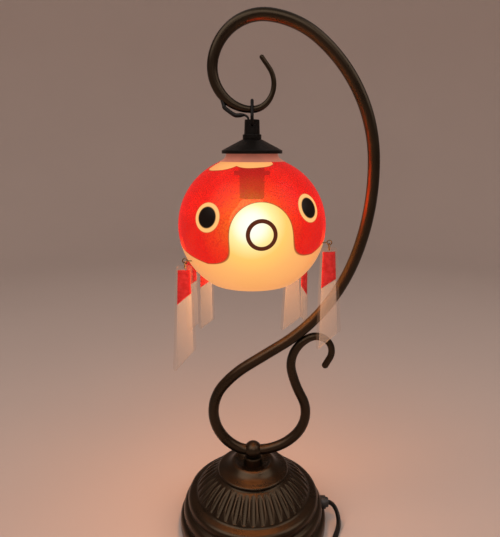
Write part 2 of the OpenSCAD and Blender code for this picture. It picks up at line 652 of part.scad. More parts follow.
// Globe
module globe_half(r, top) {
    flat = globe_flat + r - globe_r;
    difference() {
        intersection() {
            union() {
                translate([globe_off, globe_z]) circle(r = r, $fn = 128);
                translate([0, globe_z - r]) square([globe_off, 2 * r]);
                translate([0, globe_z]) square([neck_d / 2 + r - globe_r, top - globe_z]);
            }
            translate([0, globe_z - 2 * r]) square([3 * r, 5 * r]);
        }
        translate([-1, globe_z - 2 * r]) square([3 * r, 2 * r - flat]);
    }
}
module globe_wall() {
    difference() {
        globe_half(globe_r, neck_top);
        globe_half(globe_r - glass_t, neck_top + 1);
    }
}
// The flat floor stops short of where the inside of the wall starts to rise
floor_edge = 2;
floor_r = globe_off + sqrt(pow(globe_r - glass_t, 2) - pow(globe_flat - glass_t, 2)) - floor_edge;
module floor_patch() {
    translate([-1, globe_z - globe_flat - 1]) square([floor_r + 1, glass_t + 2]);
}
module globe() {
    color(glass) on_axis() rotate_extrude($fn = 128) difference() {
        globe_wall();
        floor_patch();
    }
}
module globe_floor() {
    color(glass) on_axis() rotate_extrude($fn = 128) intersection() {
        globe_wall();
        floor_patch();
    }
}

// Fins, each hung by a jump ring from a wire eye on the glass
module at_eye(k) {
    f = fins[k - 1];
    translate([hang_x + f[0].x * eye_wide, f[0].y * eye_wide, globe_z + f[0].z * eye_tall])
        rotate([0, 0, f[1]]) children();
}
module fin_eye(k) {
    color(brass) difference() {
        at_eye(k) {
            rotate([90, 0, 0]) rotate_extrude($fn = 32) translate([eye_r, 0]) circle(d = eye_wire, $fn = 16);
            translate([-eye_r - 18, 0, 0]) rotate([0, 90, 0]) cylinder(d = eye_wire, h = 18, $fn = 16);
        }
        on_axis() rotate_extrude($fn = 128) globe_half(globe_r, neck_top);
    }
}
module fin_ring(k) {
    color(brass) at_eye(k) translate([0, 0, ring_z]) rotate([0, 90, 0])
        rotate_extrude($fn = 32) translate([ring_r, 0]) circle(d = ring_wire, $fn = 16);
}
module fin(k) {
    f = fins[k - 1];
    round_r = 2.5;
    color(paper) at_eye(k) rotate([90, 0, 0]) linear_extrude(fin_t, center = true) difference() {
        polygon([[f[2], fin_top - round_r], [f[2] + round_r, fin_top], [f[3] - round_r, fin_top],
            [f[3], fin_top - round_r], [f[5], -f[7] + round_r], [f[5] - round_r, -f[7]],
            [f[4] + round_r, -f[6]], [f[4], -f[6] + round_r]]);
        translate([0, hole_z]) circle(r = hole_r, $fn = 24);
    }
}

// Mains cord with its switch, coil, tie and plug
module cord(points, n) {
    path = smooth(points, n);
    section = cord_section(cord_w, cord_t);
    color(black) skin([for (i = [0:len(path) - 1]) cord_ring(path, i, section)]);
}
module cord_run() {
    cord(run_points, 3);
}
module cord_link() {
    cord(link_points, 3);
}
coil_rings = 24;
coil_half = coil_loops * coil_rings;
// Extra step inward where the cord climbs, so that it passes beside the loop before
coil_dip = 3;
// Turn k of the coil: it spirals in on the low layer, climbs in half a loop, and spirals out again.
// It starts and ends at the coil's -Y side, where the cord runs toward -X.
function coil_point(k) = let (j = k <= coil_half ? k : 2 * coil_half - k,
    m = (k - coil_half) / (coil_rings / 2), dip = abs(m) < 1 ? coil_dip * pow(cos(90 * m), 2) : 0,
    r = coil_r - coil_step * j / coil_rings - dip, a = -90 - 360 * k / coil_rings,
    rise = min(1, max(0, m + 0.5)),
    z = coil_low + (coil_high - coil_low) * (3 - 2 * rise) * rise * rise)
    [coil_x + r * cos(a), coil_y + r * sin(a), z, 90];
coil_path = concat([[coil_x + cord_w, coil_y - coil_r, coil_low, 90]],
    [for (k = [0:2 * coil_half]) coil_point(k)], [[coil_x - cord_w, coil_y - coil_r, coil_high, 90]]);
// Least gap between places on the coil that are over half a loop apart along it
function gap_at(p, q) = let (flat = norm([p.x - q.x, p.y - q.y]) - cord_t, tall = abs(p.z - q.z) - cord_w)
    flat > 0 && tall > 0 ? norm([flat, tall]) : max(flat, tall);
module cord_coil() {
    last_ring = len(coil_path) - 1;
    gaps = [for (i = [0:2:last_ring]) for (j = [i + coil_rings / 2:last_ring])
        gap_at(coil_path[i], coil_path[j])];
    echo(coil_least_gap = min(gaps));
    section = [[cord_w / 2, 0], [cord_w / 4, cord_t / 2], [-cord_w / 4, cord_t / 2], [-cord_w / 2, 0],
        [-cord_w / 4, -cord_t / 2], [cord_w / 4, -cord_t / 2]];
    color(black) skin([for (i = [0:last_ring]) cord_ring(coil_path, i, section)]);
}
module cord_tie() {
    inner = coil_r - coil_loops * coil_step - cord_t / 2 - fit;
    outer = coil_r + cord_t / 2 + fit;
    low = coil_low - cord_w / 2 - 0.1;
    high = coil_high + cord_w / 2 + 0.1;
    color(black) translate([coil_x, coil_y, 0]) rotate([0, 0, 62]) translate([0, -5, 0]) difference() {
        translate([inner - tie_t, 0, low - tie_t])
            cube([outer - inner + 2 * tie_t, 10, high - low + 2 * tie_t]);
        translate([inner, -1, low]) cube([outer - inner, 12, high - low]);
    }
}
module cord_tail() {
    cord(tail_points, 3);
}

// Switch: two half shells and a rocker on a cross pin
module switch_plan(grow) {
    l = switch_l / 2 + grow;
    w = switch_w / 2 + grow;
    nose = 6 + grow;
    polygon([[-nose, -l], [nose, -l], [w, -l + 14], [w, l - 14], [nose, l],
        [-nose, l], [-w, l - 14], [-w, -l + 14]]);
}
module at_switch() {
    translate([switch_x, switch_y, 0]) children();
}
switch_joint = switch_h * 0.55;
rocker_l = 20;
rocker_w = 11;
rocker_r = 11;
rocker_pin = 2.4;
pin_out = 5;
rocker_tilt = 7;
switch_wall = 2.2;
rocker_pin_z = switch_h - 4;
module switch_base() {
    color(black) at_switch() difference() {
        linear_extrude(switch_joint) switch_plan(0);
        translate([0, 0, 2]) linear_extrude(switch_h) switch_plan(-switch_wall);
        translate([-cord_t / 2, -switch_l, switch_cord_z - cord_w / 2])
            cube([cord_t, 2 * switch_l, switch_h]);
    }
}
module switch_lid() {
    lug_in = rocker_w / 2 + 2 * fit;
    lug_out = switch_w / 2 - switch_wall;
    lug_foot = rocker_pin_z - rocker_pin;
    color(black) at_switch() difference() {
        union() {
            difference() {
                translate([0, 0, switch_joint]) linear_extrude(switch_h - switch_joint) switch_plan(0);
                translate([0, 0, switch_joint - 1]) linear_extrude(switch_h - switch_wall - switch_joint + 1)
                    switch_plan(-switch_wall);
            }
            for (s = [-1, 1]) translate([s * (lug_in + lug_out) / 2, 0, (lug_foot + switch_h) / 2])
                cube([lug_out - lug_in + 0.2, 6, switch_h - lug_foot], center = true);
        }
        translate([-rocker_w / 2 - fit, -rocker_l / 2 - 1.2, switch_joint])
            cube([rocker_w + 2 * fit, rocker_l + 2.4, switch_h]);
        translate([0, 0, rocker_pin_z]) rotate([0, 90, 0])
            cylinder(d = rocker_pin + 2 * running_fit, h = rocker_w + pin_out + 1, center = true, $fn = 24);
        translate([-cord_t / 2, -switch_l, 0]) cube([cord_t, 2 * switch_l, switch_cord_z + cord_w / 2]);
    }
}
module rocker() {
    color(black) at_switch() translate([0, 0, rocker_pin_z])
        rotate([90, 0, 90]) rotate([0, 0, -rocker_tilt]) union() {
        linear_extrude(rocker_w, center = true) difference() {
            intersection() {
                translate([0, 4]) square([rocker_l, 12], center = true);
                translate([0, -4]) circle(r = rocker_r + 2.4);
            }
            translate([0, 16.6]) circle(r = rocker_r, $fn = 64);
        }
        cylinder(d = rocker_pin, h = rocker_w + pin_out, center = true, $fn = 24);
    }
}

// Plug with two flat blades
module at_plug() {
    translate([plug_at.x, plug_at.y, plug_at.z]) rotate([0, 0, plug_turn]) children();
}
relief_l = 22;
module plug_body() {
    color(black) at_plug() difference() {
        union() {
            rotate([0, 90, 0]) cylinder(d1 = cord_w + 2.4, d2 = 12, h = relief_l + 8, $fn = 32);
            translate([relief_l, 0, 0]) intersection() {
                translate([0, -plug_w / 2, -plug_t / 2]) cube([plug_l, plug_w, plug_t]);
                translate([plug_w * 0.62, 0, -plug_t]) union() {
                    cylinder(r = plug_w * 0.62, h = 2 * plug_t, $fn = 64);
                    translate([0, -plug_w, 0]) cube([plug_l, 2 * plug_w, 2 * plug_t]);
                }
            }
        }
        blades();
    }
}
module blades() {
    blade_root = relief_l + plug_l - 6;
    for (s = [-1, 1]) translate([blade_root, s * 6.35 - 0.75, -3.15]) cube([23, 1.5, 6.3]);
}
module plug_blades() {
    color(brass) at_plug() difference() {
        blades();
        for (s = [-1, 1]) translate([relief_l + plug_l + 13.5, s * 6.35, 0]) rotate([90, 0, 0])
            cylinder(d = 3.2, h = 4, center = true, $fn = 24);
    }
}

base_shell();
base_cap();
base_weight();
base_plate();
base_pad();
base_nipple();
lock_nut();
post();
knuckle();
arm_tube();
arm_hook();
scroll_bar();
terminal_block();
cord_grommet();
arm_lead();
head_lead();
hanger_link();
stem();
stem_collar();
shade_cap();
cap_nut();
cap_screws();
holder_cap();
holder_body();
holder_ring();
screw_shell();
centre_contact();
bulb_cap();
bulb_glass();
globe();
globe_floor();
for (k = [1:6]) fin_eye(k);
for (k = [1:6]) fin_ring(k);
for (k = [1:6]) fin(k);
cord_run();
switch_base();
switch_lid();
rocker();
cord_link();
cord_coil();
cord_tie();
cord_tail();
plug_body();
plug_blades();
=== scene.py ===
import math
import bmesh
import bpy
from mathutils import Matrix, Vector


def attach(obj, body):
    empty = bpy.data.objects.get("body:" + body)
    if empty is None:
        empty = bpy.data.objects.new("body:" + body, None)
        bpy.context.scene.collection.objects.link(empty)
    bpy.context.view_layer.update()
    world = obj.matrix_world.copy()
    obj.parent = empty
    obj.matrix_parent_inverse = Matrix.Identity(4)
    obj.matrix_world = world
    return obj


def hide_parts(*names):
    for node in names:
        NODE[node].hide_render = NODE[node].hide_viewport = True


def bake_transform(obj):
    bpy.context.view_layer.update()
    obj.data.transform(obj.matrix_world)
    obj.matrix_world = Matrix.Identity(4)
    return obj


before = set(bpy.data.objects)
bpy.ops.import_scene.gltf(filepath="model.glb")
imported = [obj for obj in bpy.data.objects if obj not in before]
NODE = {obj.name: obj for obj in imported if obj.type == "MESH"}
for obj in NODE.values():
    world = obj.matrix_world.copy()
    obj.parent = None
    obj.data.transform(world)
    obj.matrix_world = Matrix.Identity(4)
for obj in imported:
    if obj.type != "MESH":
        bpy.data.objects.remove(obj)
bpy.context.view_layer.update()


# Camera at the photograph's angle: a phone's wide lens a little above the globe, looking slightly down.
# Colours are shown as they are lit, without a film curve.
def add_object(name, data):
    """New object in the scene, at the origin."""
    thing = bpy.data.objects.new(name, data)
    bpy.context.scene.collection.objects.link(thing)
    return thing


camera = add_object("camera", bpy.data.cameras.new("camera"))
camera.data.sensor_fit = "HORIZONTAL"
camera.data.sensor_width = 36
camera.data.lens = 34.56
camera.location = (-0.0031, -0.427, 0.379)
camera.rotation_euler = (math.radians(76), 0, 0)
bpy.context.scene.camera = camera
bpy.context.scene.view_settings.view_transform = "Standard"


# Mains cord: flat black twin lead of soft plastic, with a groove between its two cores. The first stretch
# leaves the base through the grommet, bends down to the table and runs forward to the switch. The second
# goes on through its tied coil, in front of the base, to the plug.
def mesh_piece(name, points, faces):
    """New smooth mesh object that keeps its place in its vertices."""
    data = bpy.data.meshes.new(name)
    data.from_pydata([tuple(p) for p in points], [], faces)
    data.validate()
    data.update()
    data.shade_smooth()
    return add_object(name, data)


def loft(name, rings):
    """Closed skin over rings with the same number of corners."""
    n, m = len(rings[0]), len(rings)
    points = [p for r in rings for p in r]
    faces = [(i * n + j, i * n + (j + 1) % n, (i + 1) * n + (j + 1) % n, (i + 1) * n + j)
             for i in range(m - 1) for j in range(n)]
    faces += [tuple(range(n - 1, -1, -1)), tuple(range((m - 1) * n, m * n))]
    piece = mesh_piece(name, points, faces)
    for edge in piece.data.edges:
        edge.use_edge_sharp = max(edge.vertices) < n or min(edge.vertices) >= (m - 1) * n
    return piece


def smooth_points(points, n):
    """Catmull-Rom points between given ones of any number of values."""
    out, m = [], len(points) - 1
    for i in range(m):
        a, b, c, d = points[max(i - 1, 0)], points[i], points[i + 1], points[min(i + 2, m)]
        for k in range(n):
            t = k / n
            out.append([0.5 * (2 * q + (r - p) * t + (2 * p - 5 * q + 4 * r - s) * t * t
                               + (3 * q - p - 3 * r + s) * t ** 3) for p, q, r, s in zip(a, b, c, d)])
    out.append(list(points[m]))
    return out


class Finish:
    """A material under construction: a small wrapper round its node tree."""

    def __init__(self, name):
        self.material = bpy.data.materials.new(name)
        self.material.use_nodes = True
        self.nodes = self.material.node_tree.nodes
        self.links = self.material.node_tree.links
        self.bsdf = self.nodes["Principled BSDF"]
        self.out = self.nodes["Material Output"]

    def put(self, socket, value):
        if isinstance(value, bpy.types.NodeSocket):
            self.links.new(value, socket)
        elif value is not None:
            socket.default_value = value

    def math(self, op, a, b=None, c=None):
        node = self.nodes.new("ShaderNodeMath")
        node.operation = op
        for i, v in enumerate((a, b, c)):
            self.put(node.inputs[i], v)
        return node.outputs[0]

    def vector(self, op, a, b=None):
        node = self.nodes.new("ShaderNodeVectorMath")
        node.operation = op
        self.put(node.inputs[0], a)
        self.put(node.inputs[1], b)
        return node.outputs["Value"] if op in ("DOT_PRODUCT", "LENGTH") else node.outputs[0]

    def place(self):
        return self.nodes.new("ShaderNodeTexCoord").outputs["Object"]

    def noise(self, vector, scale, detail=3, roughness=0.55):
        node = self.nodes.new("ShaderNodeTexNoise")
        self.put(node.inputs["Vector"], vector)
        node.inputs["Scale"].default_value = scale
        node.inputs["Detail"].default_value = detail
        node.inputs["Roughness"].default_value = roughness
        return node.outputs[0]

    def step(self, value, low, high, to_low=0.0, to_high=1.0):
        node = self.nodes.new("ShaderNodeMapRange")
        node.interpolation_type = "SMOOTHSTEP"
        for i, v in enumerate((value, low, high, to_low, to_high)):
            self.put(node.inputs[i], v)
        return node.outputs[0]

    def ramp(self, value, stops):
        node = self.nodes.new("ShaderNodeValToRGB")
        self.put(node.inputs[0], value)
        band = node.color_ramp
        while len(band.elements) < len(stops):
            band.elements.new(0.5)
        for e, (at, colour) in zip(band.elements, stops):
            e.position = at
            e.color = (*colour, 1)
        return node.outputs[0]

    def mix(self, factor, a, b):
        node = self.nodes.new("ShaderNodeMix")
        node.data_type = "RGBA"
        self.put(node.inputs[0], factor)
        self.put(node.inputs[6], (*a, 1) if isinstance(a, tuple) else a)
        self.put(node.inputs[7], (*b, 1) if isinstance(b, tuple) else b)
        return node.outputs[2]

    def bump(self, height, distance, strength=1.0):
        node = self.nodes.new("ShaderNodeBump")
        self.put(node.inputs["Height"], height)
        node.inputs["Distance"].default_value = distance
        node.inputs["Strength"].default_value = strength
        return node.outputs[0]

    def shader(self, kind, colour):
        node = self.nodes.new(kind)
        self.put(node.inputs[0], colour)
        return node.outputs[0]

    def blend(self, factor, a, b):
        node = self.nodes.new("ShaderNodeMixShader")
        self.put(node.inputs[0], factor)
        self.links.new(a, node.inputs[1])
        self.links.new(b, node.inputs[2])
        return node.outputs[0]

    def set(self, **values):
        for name, value in values.items():
            self.put(self.bsdf.inputs[name.replace("_", " ")], value)


def twin_outline(core):
    """Outline of two round cores side by side, across the cord and through it."""
    return [(core * side + core * math.cos(a), core * math.sin(a)) for side, first in ((1, -130), (-1, 50))
            for a in (math.radians(first + 26 * k) for k in range(11))]


cord_core = 1.3


def cord_rings(path):
    """Rings of the cord along points [x, y, z, twist]: millimetres and degrees in, metres out."""
    outline = twin_outline(cord_core)
    rings = []
    for i, p in enumerate(path):
        before, after = Vector(path[max(i - 1, 0)][:3]), Vector(path[min(i + 1, len(path) - 1)][:3])
        along = (after - before).normalized()
        side = Vector((0, 0, 1)).cross(along).normalized()
        up = along.cross(side)
        a = math.radians(p[3])
        wide, thin = side * math.cos(a) + up * math.sin(a), up * math.cos(a) - side * math.sin(a)
        rings.append([(Vector(p[:3]) + wide * u + thin * v) / 1000 for u, v in outline])
    return rings


f = Finish("cord_sheath")
grain = f.noise(f.place(), scale=900, detail=2)
f.set(Base_Color=f.mix(grain, (0.005, 0.0045, 0.0045), (0.010, 0.0095, 0.009)), Specular_IOR_Level=0.25,
      Roughness=f.step(grain, 0.2, 0.8, 0.38, 0.5), Normal=f.bump(grain, distance=0.00008))
sheath = f.material
run_path = smooth_points([
    [66, 4, 18.2, 90], [76, 4, 18.2, 90], [78, 4, 18.2, 90], [79, 4, 18.2, 90], [81.5, 3.6, 17.6, 90],
    [84.2, 2.2, 16, 88], [86.6, -0.6, 13.2, 80], [88, -4.6, 9.8, 66], [88.2, -9.4, 6.6, 48],
    [87.2, -14.4, 4, 28], [85.2, -19.4, 2.3, 10], [82.8, -24.4, 1.6, 0], [80.6, -29.6, 1.5, 0],
    [79.2, -35, 1.5, 0], [78.6, -40.6, 1.6, 8], [78.8, -46.2, 2, 26], [79.6, -52, 2.7, 50],
    [80.9, -57.8, 3.6, 72], [82.3, -63.4, 5, 86], [83.4, -68.8, 6.4, 90], [84, -75, 7, 90]], 6)
cord_run = loft("cord_to_switch", cord_rings(run_path))
cord_run.data.materials.append(sheath)
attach(cord_run, "stand")
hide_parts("cord_run")

coil_x, coil_y, coil_r = 27, -117, 35
coil_loops, loop_steps, loop_pitch = 4, 24, 3.4
low_layer, layer_rise, climb_dip = 3.6, 5.9, 3


def coil_point(k):
    """Step k of the coil: in on the low layer, a climb in half a loop, then out again on the high one."""
    inmost = coil_loops * loop_steps
    from_rim, climb = (k if k <= inmost else 2 * inmost - k), 2 * (k - inmost) / loop_steps
    dip = climb_dip * math.cos(math.radians(90 * climb)) ** 2 if abs(climb) < 1 else 0
    r, a = coil_r - loop_pitch * from_rim / loop_steps - dip, math.radians(-90 - 360 / loop_steps * k)
    rise = min(1, max(0, climb + 0.5))
    height = low_layer + layer_rise * (3 - 2 * rise) * rise * rise
    return [coil_x + r * math.cos(a), coil_y + r * math.sin(a), height, 90]


link_path = smooth_points([
    [84, -133, 7, 90], [83.4, -137.6, 6.8, 90], [80.8, -142.2, 6.2, 90], [76.2, -146.6, 5.4, 90],
    [69.6, -149.8, 4.7, 90], [61.4, -151.4, 4.3, 90], [52, -152, 3.6, 90], [42, -152, 3.6, 90],
    [32.2, -152, 3.6, 90]], 6)
coil_path = [coil_point(k / 2) for k in range(4 * coil_loops * loop_steps + 1)]
tail_path = smooth_points([
    [21.8, -152, 9.5, 90], [20.3, -152, 9.5, 90], [18.8, -152, 9.5, 90], [14, -152.1, 9.6, 90],
    [6.4, -152, 9.2, 90], [-1, -151.2, 8.5, 90], [-8.4, -149, 7.8, 90], [-15.2, -145.2, 7.2, 90],
    [-21.2, -140, 7, 90], [-26, -134.2, 7, 90], [-29.32, -129.49, 7, 90], [-30.16, -128.24, 7, 90],
    [-31, -127, 7, 90]], 6)
cord_path = link_path + coil_path + tail_path
cord_coil = loft("cord_to_plug", cord_rings(cord_path))
cord_coil.data.materials.append(sheath)
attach(cord_coil, "stand")
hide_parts("cord_link", "cord_coil", "cord_tail")


# Moulded black plastic: the grommet in the base, the cord's switch and rocker, its tie and its plug. The
# mould's fine spark grain shows on all of them, and the edges are slightly rounded.
def dress(material, *names):
    """Gives CAD nodes this material in all their slots."""
    for name in names:
        data = NODE[name].data
        data.materials.clear()
        data.materials.append(material)
        data.polygons.foreach_set("material_index", [0] * len(data.polygons))


def soften(node, width, angle=35):
    """Rounds the hard edges of a CAD node's look with modifiers, its own mesh left as it is."""
    piece = NODE[node]
    weld = piece.modifiers.new("weld", "WELD")
    weld.merge_threshold = 0.00001
    bevel = piece.modifiers.new("bevel", "BEVEL")
    bevel.width = width
    bevel.segments = 2
    bevel.limit_method = "ANGLE"
    bevel.angle_limit = math.radians(angle)
    smooth = piece.modifiers.new("normals", "WEIGHTED_NORMAL")
    smooth.keep_sharp = False


f = Finish("black_plastic")
grain = f.noise(f.place(), scale=1400, detail=2)
shade = f.noise(f.place(), scale=60)
f.set(Base_Color=f.mix(shade, (0.012, 0.012, 0.012), (0.022, 0.021, 0.02)),
      Roughness=f.step(grain, 0.25, 0.75, 0.36, 0.52), Normal=f.bump(grain, distance=0.00012))
mould_edges = {"cord_grommet": 0.0005, "switch_base": 0.0008, "switch_lid": 0.0008, "rocker": 0.0006,
               "plug_body": 0.0012, "cord_tie": 0.0002}
for name, width in mould_edges.items():
    dress(f.material, name)
    soften(name, width)


# Studio sweep: one pale plain sheet that lies flat under the lamp and curves up into a wall all round.
# It is matt, so that the lamp's own glow lies on it softly.
def lathe(name, profile, turns, axis_x=0):
    """Revolves (radius, height) points about a vertical line."""
    points, faces = [], []
    m = len(profile)
    for k in range(turns):
        a = 2 * math.pi * k / turns
        points += [(axis_x + r * math.cos(a), r * math.sin(a), z) for r, z in profile]
    for k in range(turns):
        for i in range(m - 1):
            a, b = k * m + i, ((k + 1) % turns) * m + i
            faces.append((a, b, b + 1, a + 1))
    return mesh_piece(name, points, faces)


flat_r, bend_r, wall_top = 1.3, 0.9, 2.6
sweep = [(flat_r + bend_r, wall_top)]
sweep += [(flat_r + bend_r * math.sin(a), bend_r - bend_r * math.cos(a))
          for a in (math.radians(90 - 5 * k) for k in range(19))]
floor = lathe("floor", sweep + [(0.6, 0), (0.001, 0)], 96)
f = Finish("floor")
f.set(Base_Color=f.mix(f.noise(f.place(), scale=3, detail=2), (0.52, 0.43, 0.39), (0.55, 0.455, 0.41)),
      Roughness=0.8)
floor.data.materials.append(f.material)


# Fluted base: a spun shell with a stepped foot, two rolled rings and a dome of tongue-ended flutes, in a
# dark bronze finish whose sharp edges are painted a little paler and orange, partly as wear and partly as a
# painted highlight of the globe's warm glint. One flute's slice of the shell is repeated round the axis and
# welded.
f = Finish("bronze")
place = f.place()
cloud = f.noise(place, scale=26, detail=4)
fine = f.noise(place, scale=420, detail=3)
# Sharp edges: painted paler and orange, partly wear and partly a painted highlight of the globe's glint.
edge_wear_and_glint = f.step(f.nodes.new("ShaderNodeNewGeometry").outputs["Pointiness"], 0.505, 0.56)
tone = f.mix(cloud, (0.028, 0.020, 0.012), (0.048, 0.035, 0.023))
f.set(Base_Color=f.mix(f.math("MULTIPLY", edge_wear_and_glint, 0.25), tone, (0.20, 0.11, 0.06)), Metallic=0.9,
      Specular_IOR_Level=0.3,
      Roughness=f.math("ADD", f.step(cloud, 0.3, 0.7, 0.22, 0.30), f.math("MULTIPLY", fine, 0.06)),
      Normal=f.bump(fine, distance=0.00005, strength=0.08))
bronze = f.material

flutes, slice_steps = 40, 16
flute_r, flute_depth, flute_from, flute_to = 3.1, 1.9, 0.05, 0.95
flute_wide, flute_taper = 1.1, 0.2
dome_foot, dome_head, dome_swell = (57, 40.6), (35.4, 61.0), 2.2
dome_out = (0.687, 0.727)
dome_steps = [0.02, 0.038, 0.046, 0.052, 0.062, 0.085, 0.12] + [0.16 + 0.04 * k for k in range(18)]
dome_steps += [0.88, 0.91, 0.932, 0.945, 0.953, 0.97, 1.0]
foot_line = smooth_points([
    [73.6, 0.8], [74.8, 2.4], [75, 6], [75, 10], [74.6, 13.5], [73.2, 16], [71, 17.2], [70.8, 19.2],
    [71.2, 20.6], [71.2, 23], [70.4, 26], [68.6, 28.2], [66.6, 29.2], [66, 30.8], [66.4, 32], [66.4, 34],
    [65.6, 36.4], [63.6, 38.2], [60.6, 39], [58.4, 39.4], [57, 40.6]], 3)
inside_line = [(34.4, 61.95), (30, 61.95), (30, 57.5), (50, 44), (62, 34), (67, 24), (67.5, 15), (71, 4.4),
               (71, 1)]


def dome_point(t, a):
    """Point (radius, height) of the dome a share t of the way up, at angle a from the middle of a flute."""
    r = dome_foot[0] + (dome_head[0] - dome_foot[0]) * t
    z = dome_foot[1] + (dome_head[1] - dome_foot[1]) * t
    high = 4 * dome_swell * t * (1 - t)
    if flute_from <= t <= flute_to:
        cut = flute_r * (flute_wide - flute_taper * (t - flute_from))
        off = r * abs(a)
        if off < cut:
            high = min(high, dome_swell + flute_r - flute_depth - math.sqrt(cut * cut - off * off))
    return r + high * dome_out[0], z + high * dome_out[1]


def base_slice_points():
    """Columns of points across one flute, each once round the shell's wall."""
    points = []
    for k in range(slice_steps + 1):
        a = math.radians((k / slice_steps - 0.5) * 360 / flutes)
        line = inside_line[-1:] + foot_line + [dome_point(t, a) for t in dome_steps] + inside_line
        points.append([(r * math.cos(a) / 1000, r * math.sin(a) / 1000, z / 1000) for r, z in line])
    return points


def repeat_round(material):
    """Geometry Nodes tree that sets copies of a slice round the Z axis and welds them."""
    tree = bpy.data.node_groups.new("slices_round_axis", "GeometryNodeTree")
    tree.interface.new_socket("Slice", in_out="INPUT", socket_type="NodeSocketGeometry")
    number = tree.interface.new_socket("Count", in_out="INPUT", socket_type="NodeSocketInt")
    tree.interface.new_socket("Ring", in_out="OUTPUT", socket_type="NodeSocketGeometry")
    new = tree.nodes.new
    entry, leave = new("NodeGroupInput"), new("NodeGroupOutput")
    points, index = new("GeometryNodePoints"), new("GeometryNodeInputIndex")
    turn, angle, spin = new("ShaderNodeMath"), new("ShaderNodeMath"), new("ShaderNodeCombineXYZ")
    copies, real = new("GeometryNodeInstanceOnPoints"), new("GeometryNodeRealizeInstances")
    weld, smooth = new("GeometryNodeMergeByDistance"), new("GeometryNodeSetShadeSmooth")
    paint = new("GeometryNodeSetMaterial")
    turn.operation, angle.operation = "DIVIDE", "MULTIPLY"
    angle.inputs[1].default_value = 2 * math.pi
    weld.inputs["Distance"].default_value = 0.000004
    paint.inputs["Material"].default_value = material
    for a, b in ((entry.outputs["Count"], points.inputs["Count"]), (index.outputs[0], turn.inputs[0]),
                 (entry.outputs["Count"], turn.inputs[1]), (turn.outputs[0], angle.inputs[0]),
                 (angle.outputs[0], spin.inputs["Z"]), (points.outputs[0], copies.inputs["Points"]),
                 (entry.outputs["Slice"], copies.inputs["Instance"]),
                 (spin.outputs[0], copies.inputs["Rotation"]),
                 (copies.outputs[0], real.inputs[0]), (real.outputs[0], weld.inputs[0]),
                 (weld.outputs[0], smooth.inputs[0]), (smooth.outputs[0], paint.inputs[0]),
                 (paint.outputs[0], leave.inputs[0])):
        tree.links.new(a, b)
    return tree, number.identifier


columns = base_slice_points()
rows = len(columns[0])
base = mesh_piece("base_shell_cast", [p for column in columns for p in column],
                  [(k * rows + i, (k + 1) * rows + i, (k + 1) * rows + i + 1, k * rows + i + 1)
                   for k in range(slice_steps) for i in range(rows - 1)])
ring_tree, count_socket = repeat_round(bronze)
round_axis = base.modifiers.new("round_axis", "NODES")
round_axis.node_group = ring_tree
round_axis[count_socket] = flutes
whole = bpy.data.meshes.new_from_object(base.evaluated_get(bpy.context.evaluated_depsgraph_get()))
base.modifiers.clear()
base.data = whole
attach(base, "stand")
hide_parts("base_shell")


# Turned boss on the dome, tapered post and ball knuckle, all in the base's dark bronze. The edges that a
# lathe leaves are broken slightly.
dress(bronze, "base_cap", "post", "knuckle")
for name in ("base_cap", "post"):
    soften(name, 0.0006, 28)
soften("knuckle", 0.0004, 40)


# Inside and under the base: felted pad, zinc-plated plate, nipple and lock nut, cast weight and a white
# terminal block. The shade's cap nut and the bulb's cap have the same zinc.
f = Finish("foot_pad")
felt = f.noise(f.place(), scale=700, detail=4)
f.set(Base_Color=f.mix(felt, (0.014, 0.013, 0.013), (0.035, 0.033, 0.032)), Roughness=0.95,
      Normal=f.bump(felt, distance=0.0003))
dress(f.material, "base_pad")
f = Finish("zinc_steel")
scratch = f.noise(f.vector("MULTIPLY", f.place(), (1, 1, 14)), scale=160, detail=4)
f.set(Base_Color=f.mix(scratch, (0.5, 0.5, 0.52), (0.66, 0.66, 0.68)), Metallic=1.0,
      Roughness=f.step(scratch, 0.3, 0.7, 0.26, 0.42))
dress(f.material, "base_plate", "base_nipple", "lock_nut", "cap_nut", "bulb_cap")
f = Finish("cast_weight")
sand = f.noise(f.place(), scale=300, detail=4)
f.set(Base_Color=f.mix(sand, (0.1, 0.1, 0.105), (0.17, 0.17, 0.175)), Metallic=0.7, Roughness=0.7,
      Normal=f.bump(sand, distance=0.0004))
dress(f.material, "base_weight")
f = Finish("white_plastic")
haze = f.noise(f.place(), scale=90)
f.set(Base_Color=f.mix(haze, (0.76, 0.74, 0.7), (0.84, 0.82, 0.78)),
      Roughness=f.step(haze, 0.3, 0.7, 0.38, 0.5))
dress(f.material, "terminal_block")


# Arm: one bent steel tube from the knuckle round the lower loop, up the bow and over the crown. Its bends
# run into each other without a kink, and it has the base's dark bronze.
def walk(arcs, x, z, heading, step):
    """Points [x, z, heading] along tangent arcs [radius, sweep], or straights [0, length], in millimetres."""
    out = [[x, z, heading]]
    for r, a in arcs:
        n = max(2, math.ceil((a if r == 0 else r * abs(math.radians(a))) / step))
        x, z, h = out[-1]
        for k in range(1, n + 1):
            if r == 0:
                ahead = a * k / n
                out.append([x + ahead * math.cos(math.radians(h)), z + ahead * math.sin(math.radians(h)), h])
            else:
                s, g = math.copysign(1, a), h + a * k / n
                out.append([x + r * s * (math.sin(math.radians(g)) - math.sin(math.radians(h))),
                            z + r * s * (math.cos(math.radians(h)) - math.cos(math.radians(g))), g])
    return out


def round_bar(name, points, diameters, sides=40):
    """Round bar along a walk in the XZ plane; sizes in millimetres, mesh in metres."""
    angles = [2 * math.pi * k / sides for k in range(sides)]
    rings = []
    for (x, z, h), d in zip(points, diameters):
        s, c, r = math.sin(math.radians(h)), math.cos(math.radians(h)), d / 2
        rings.append([((x - s * r * math.cos(a)) / 1000, r * math.sin(a) / 1000,
                       (z + c * r * math.cos(a)) / 1000) for a in angles])
    return loft(name, rings)


